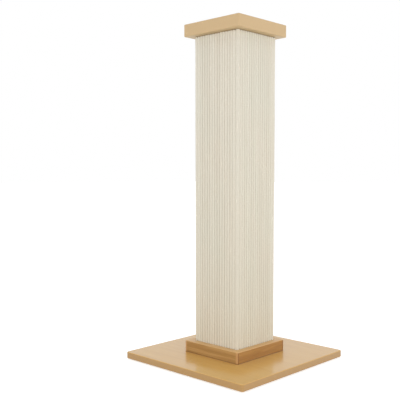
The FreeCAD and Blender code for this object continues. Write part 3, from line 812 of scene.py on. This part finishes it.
def dress(nodes):
    """Gives every CAD node its material."""
    # The base board's dark edge tone and both boards' underside tones are painted shade.
    golden = laminate_material(
        "golden_laminate",
        (srgb(210, 162, 82), srgb(215, 169, 89), srgb(220, 176, 98)),
        srgb(176, 135, 76),
        srgb(190, 150, 92),
        (0.8, 0.16),
    )
    pale = laminate_material(
        "pale_laminate",
        (srgb(201, 171, 127), srgb(205, 176, 134), srgb(210, 182, 141)),
        srgb(206, 177, 135),
        srgb(194, 167, 121),
        (0.1, 0.25),
    )
    # The front and back rails' light mitre tone is a painted highlight; the side rails' dark one is
    # the joint line.
    oak_x = oak_material(
        "plinth_oak_x",
        True,
        (srgb(158, 117, 57), srgb(171, 129, 69), srgb(184, 144, 84)),
        srgb(196, 151, 99),
        5.5 * MM,
    )
    # The side rails' darker tones are painted shade, a shaded copy of the front rails' oak; their
    # grain runs along Y.
    oak_y_painted_shade = oak_material(
        "plinth_oak_y_painted_shade",
        False,
        (srgb(156, 107, 39), srgb(167, 119, 48), srgb(180, 133, 60)),
        srgb(140, 95, 45),
        4.0 * MM,
    )
    fibreboard = fibreboard_material()
    beech = beech_material()
    steel = steel_material()
    rubber = foot_material()
    rules = (
        ("base_board", golden),
        ("cap_board", pale),
        ("plinth_rail_front", oak_x),
        ("plinth_rail_back", oak_x),
        ("plinth_rail_right", oak_y_painted_shade),
        ("plinth_rail_left", oak_y_painted_shade),
        ("core_panel", fibreboard),
        ("bottom_block", fibreboard),
        ("middle_block", fibreboard),
        ("top_block", fibreboard),
        ("cap_dowels", beech),
        ("foot_pad", rubber),
        ("base_bolts", steel),
        ("lock_washers", steel),
        ("flat_washers", steel),
        ("tee_nuts", steel),
        ("sisal_sleeve", fibreboard),
    )
    for name, made in nodes.items():
        material = next(material for start, material in rules if name.startswith(start))
        made.data.materials.clear()
        made.data.materials.append(material)


# Studio ------------------------------------------------------------------------------------------


def seen_or_mirrored(tree):
    """1 for rays from the camera, a mirror or glass, and 0 for the rays that light the object."""
    path = tree.nodes.new("ShaderNodeLightPath")
    camera_or_gloss = tree.nodes.new("ShaderNodeMath")
    camera_or_gloss.operation = "MAXIMUM"
    tree.links.new(path.outputs["Is Camera Ray"], camera_or_gloss.inputs[0])
    tree.links.new(path.outputs["Is Glossy Ray"], camera_or_gloss.inputs[1])
    with_glass = tree.nodes.new("ShaderNodeMath")
    with_glass.operation = "MAXIMUM"
    tree.links.new(camera_or_gloss.outputs[0], with_glass.inputs[0])
    tree.links.new(path.outputs["Is Transmission Ray"], with_glass.inputs[1])
    return with_glass.outputs[0]


def set_world():
    """An even pale sky that shows as white."""
    world = bpy.data.worlds.new("studio_sky")
    bpy.context.scene.world = world
    world.use_nodes = True
    tree = world.node_tree
    tree.nodes.clear()
    out = tree.nodes.new("ShaderNodeOutputWorld")
    light = tree.nodes.new("ShaderNodeBackground")
    light.inputs["Color"].default_value = (1.0, 1.0, 1.0, 1.0)
    light.inputs["Strength"].default_value = SKY_LIGHT
    shown = tree.nodes.new("ShaderNodeBackground")
    shown.inputs["Color"].default_value = (1.0, 1.0, 1.0, 1.0)
    shown.inputs["Strength"].default_value = SKY_SEEN
    mix = tree.nodes.new("ShaderNodeMixShader")
    tree.links.new(seen_or_mirrored(tree), mix.inputs["Fac"])
    tree.links.new(light.outputs[0], mix.inputs[1])
    tree.links.new(shown.outputs[0], mix.inputs[2])
    tree.links.new(mix.outputs[0], out.inputs["Surface"])


def floor_material():
    """Matt pale floor that shows as white where nothing shades it."""
    material = bpy.data.materials.new("studio_floor")
    material.use_nodes = True
    tree = material.node_tree
    tree.nodes.clear()
    out = tree.nodes.new("ShaderNodeOutputMaterial")
    matt = tree.nodes.new("ShaderNodeBsdfDiffuse")
    matt.inputs["Color"].default_value = (*FLOOR_COLOUR, 1.0)
    glow = tree.nodes.new("ShaderNodeEmission")
    glow.inputs["Color"].default_value = (1.0, 1.0, 1.0, 1.0)
    strength = tree.nodes.new("ShaderNodeMath")
    strength.operation = "MULTIPLY"
    strength.inputs[1].default_value = FLOOR_GLOW
    tree.links.new(seen_or_mirrored(tree), strength.inputs[0])
    tree.links.new(strength.outputs[0], glow.inputs["Strength"])
    add = tree.nodes.new("ShaderNodeAddShader")
    tree.links.new(matt.outputs[0], add.inputs[0])
    tree.links.new(glow.outputs[0], add.inputs[1])
    tree.links.new(add.outputs[0], out.inputs["Surface"])
    return material


def set_floor():
    """The floor that the feet stand on."""
    half = FLOOR_SIZE / 2.0
    points = [(-half, -half, 0.0), (half, -half, 0.0), (half, half, 0.0), (-half, half, 0.0)]
    floor = mesh_object("studio_floor", points, [(0, 1, 2, 3)])
    floor.data.materials.append(floor_material())


def set_lamps():
    """Soft lamps in front and at both sides, low enough to shine in under the cap."""
    target = Vector(LAMP_TARGET)
    for name, place, size, power in LAMPS:
        data = bpy.data.lights.new(name, "AREA")
        data.shape = "SQUARE"
        data.size = size
        data.energy = power
        lamp = bpy.data.objects.new(name, data)
        bpy.context.scene.collection.objects.link(lamp)
        lamp.location = place
        lamp.rotation_mode = "QUATERNION"
        lamp.rotation_quaternion = (target - Vector(place)).to_track_quat("-Z", "Y")


def set_camera():
    """The camera at the photograph's place, angle and framing."""
    yaw = math.radians(CAMERA_YAW_DEG)
    pitch = math.radians(CAMERA_PITCH_DEG)
    look = Vector((math.cos(pitch) * math.cos(yaw), math.cos(pitch) * math.sin(yaw), math.sin(pitch)))
    right = Vector((math.sin(yaw), -math.cos(yaw), 0.0))
    up = right.cross(look)
    data = bpy.data.cameras.new("photo_camera")
    data.sensor_fit = "HORIZONTAL"
    data.sensor_width = SENSOR_MM
    data.lens = FOCAL_PX * SENSOR_MM / IMAGE_PX
    middle = (IMAGE_PX - 1) / 2.0
    data.shift_x = (middle - CENTRE_PX[0]) / IMAGE_PX
    data.shift_y = (CENTRE_PX[1] - middle) / IMAGE_PX
    data.clip_start = 0.05
    data.clip_end = 100.0
    camera = bpy.data.objects.new("photo_camera", data)
    bpy.context.scene.collection.objects.link(camera)
    turn = Matrix((right, up, -look)).transposed().to_4x4()
    camera.matrix_world = Matrix.Translation(Vector(CAMERA_PLACE)) @ turn
    bpy.context.scene.camera = camera


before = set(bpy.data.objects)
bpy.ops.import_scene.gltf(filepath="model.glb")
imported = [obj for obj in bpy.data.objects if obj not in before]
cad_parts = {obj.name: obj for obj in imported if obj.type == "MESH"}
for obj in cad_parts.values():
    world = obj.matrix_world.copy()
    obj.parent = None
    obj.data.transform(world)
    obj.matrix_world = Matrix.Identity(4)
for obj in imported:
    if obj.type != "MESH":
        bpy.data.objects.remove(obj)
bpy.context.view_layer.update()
bpy.context.scene.view_settings.view_transform = "Standard"
dress(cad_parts)
sisal_sleeve(stray_fibres())
seam_staples()
set_world()
set_floor()
set_lamps()
set_camera()
